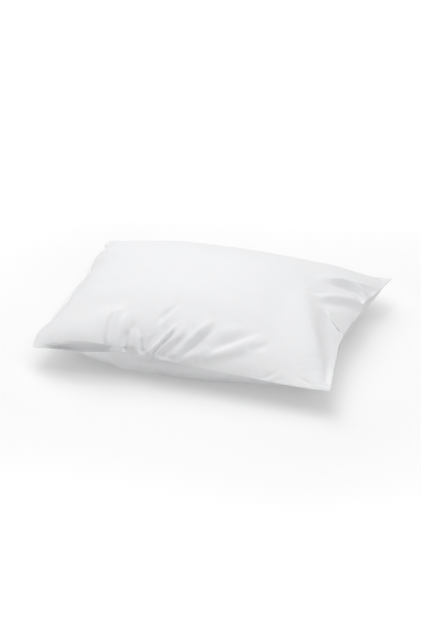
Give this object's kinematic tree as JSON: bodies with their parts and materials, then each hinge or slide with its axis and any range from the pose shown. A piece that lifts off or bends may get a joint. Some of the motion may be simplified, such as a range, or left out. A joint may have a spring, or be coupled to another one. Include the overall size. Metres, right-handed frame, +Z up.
{
  "type": "pillowcase",
  "caption": "White cotton pillowcase, filled and lying on its back: low crown, seam drawn in between pointed corners, gathers along the front seam and long folds on one flank.",
  "frame": {"origin": "middle of the flat foot, at the bottom centre of the bounding box, on the surface the case lies on", "axes": "+X along the long side, from the hemmed mouth towards the flank with the long folds; +Y away from the gathered front seam; +Z up, from the foot to the crown"},
  "size_m": [0.5867, 0.465, 0.1407],
  "materials": {
    "cotton": "matt plain weave"
  },
  "bodies": {
    "root": {"pillowcase": "cotton"}
  },
  "joints": []
}
